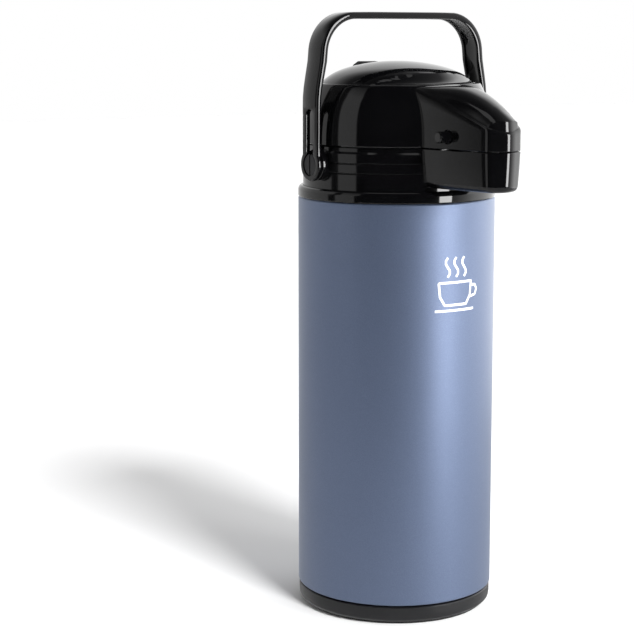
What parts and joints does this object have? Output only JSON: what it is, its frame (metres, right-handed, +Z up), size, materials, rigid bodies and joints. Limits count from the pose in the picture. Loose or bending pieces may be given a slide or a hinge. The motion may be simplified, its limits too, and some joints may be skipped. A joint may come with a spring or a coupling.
{
  "type": "thermal coffee airpot",
  "caption": "Insulated pump airpot: cylindrical lacquered body, black head with beak spout, domed push plate, swinging bail handle and swivel base.",
  "frame": {"origin": "centre of the base's underside, on the table", "axes": "+Z up, spout towards -Y, handle pivots along X"},
  "size_m": [0.138, 0.1871, 0.394],
  "materials": {
    "outer_shell": "satin slate-blue lacquer",
    "collar_ring": "gloss black",
    "shoulder": "gloss black",
    "beak_tray": "gloss black",
    "liner_outer": "drawn steel",
    "liner_inner": "electropolished steel",
    "liner_cushion": "matte rubber",
    "neck_ring": "black moulding",
    "neck_gasket": "silicone",
    "bottom_cover": "black moulding",
    "swivel_screw": "zinc plated",
    "riser_tube": "drawn steel",
    "tube_head": "natural polypropylene",
    "pivot_pin_left": "black acetal",
    "pivot_pin_right": "black acetal",
    "hinge_pin": "steel wire",
    "lid_shell": "gloss black",
    "spout_hood": "gloss black",
    "lid_base": "black moulding",
    "stopper": "black moulding",
    "stopper_gasket": "silicone",
    "pump_plate": "black moulding",
    "bellows": "soft black",
    "pump_spring": "spring wire",
    "air_valve": "silicone",
    "outlet_duct": "natural polypropylene",
    "nozzle": "black moulding",
    "tube_seal": "silicone",
    "lid_screws": "zinc plated",
    "button_guide": "black moulding",
    "push_dome": "gloss black",
    "pusher_plate": "black moulding",
    "lock_slide": "black moulding",
    "release_button_left": "gloss black",
    "release_button_right": "gloss black",
    "button_spring_left": "spring wire",
    "button_spring_right": "spring wire",
    "carry_handle": "gloss black",
    "swivel_base": "satin black",
    "slip_ring": "acetal",
    "foot_pad": "matte rubber"
  },
  "bodies": {
    "vessel": {"outer_shell": "outer_shell", "collar_ring": "collar_ring", "shoulder": "shoulder", "beak_tray": "beak_tray", "liner_outer": "liner_outer", "liner_inner": "liner_inner", "liner_cushion": "liner_cushion", "neck_ring": "neck_ring", "neck_gasket": "neck_gasket", "bottom_cover": "bottom_cover", "swivel_screw": "swivel_screw", "riser_tube": "riser_tube", "tube_head": "tube_head", "pivot_pin_left": "pivot_pin_left", "pivot_pin_right": "pivot_pin_right", "hinge_pin": "hinge_pin"},
    "lid": {"lid_shell": "lid_shell", "spout_hood": "spout_hood", "lid_base": "lid_base", "stopper": "stopper", "stopper_gasket": "stopper_gasket", "pump_plate": "pump_plate", "air_valve": "air_valve", "outlet_duct": "outlet_duct", "nozzle": "nozzle", "tube_seal": "tube_seal", "lid_screws": "lid_screws", "button_guide": "button_guide", "button_spring_left": "button_spring_left", "button_spring_right": "button_spring_right"},
    "push_plate": {"push_dome": "push_dome", "pusher_plate": "pusher_plate", "bellows": "bellows", "pump_spring": "pump_spring"},
    "lock": {"lock_slide": "lock_slide"},
    "button_left": {"release_button_left": "release_button_left"},
    "button_right": {"release_button_right": "release_button_right"},
    "handle": {"carry_handle": "carry_handle"},
    "base": {"swivel_base": "swivel_base", "slip_ring": "slip_ring", "foot_pad": "foot_pad"}
  },
  "joints": [
    {"name": "handle_swing", "type": "hinge", "parent": "vessel", "child": "handle", "pos_m": [0, 0, 0.297], "axis": [-1, 0, 0], "range_deg": [-47.5, 128]},
    {"name": "lid_open", "type": "hinge", "parent": "vessel", "child": "lid", "pos_m": [0, 0.0655, 0.3115], "axis": [-1, 0, 0], "range_deg": [0, 18]},
    {"name": "pump_stroke", "type": "slide", "parent": "lid", "child": "push_plate", "axis": [0, 0, -1], "range_m": [0, 0.018], "stiffness_N_per_m": 900, "springref_m": -0.006, "deforming": ["bellows", "pump_spring"]},
    {"name": "lock_travel", "type": "slide", "parent": "push_plate", "child": "lock", "axis": [0, -1, 0], "range_m": [0, 0.003]},
    {"name": "button_press_left", "type": "slide", "parent": "lid", "child": "button_left", "axis": [1, 0, 0], "range_m": [0, 0.0025], "stiffness_N_per_m": 800, "springref_m": -0.001, "deforming": ["button_spring_left"]},
    {"name": "button_press_right", "type": "slide", "parent": "lid", "child": "button_right", "axis": [-1, 0, 0], "range_m": [0, 0.0025], "stiffness_N_per_m": 800, "springref_m": -0.001, "deforming": ["button_spring_right"]},
    {"name": "base_swivel", "type": "hinge", "parent": "vessel", "child": "base", "pos_m": [0, 0, 0.006], "axis": [0, 0, 1], "continuous": true}
  ]
}
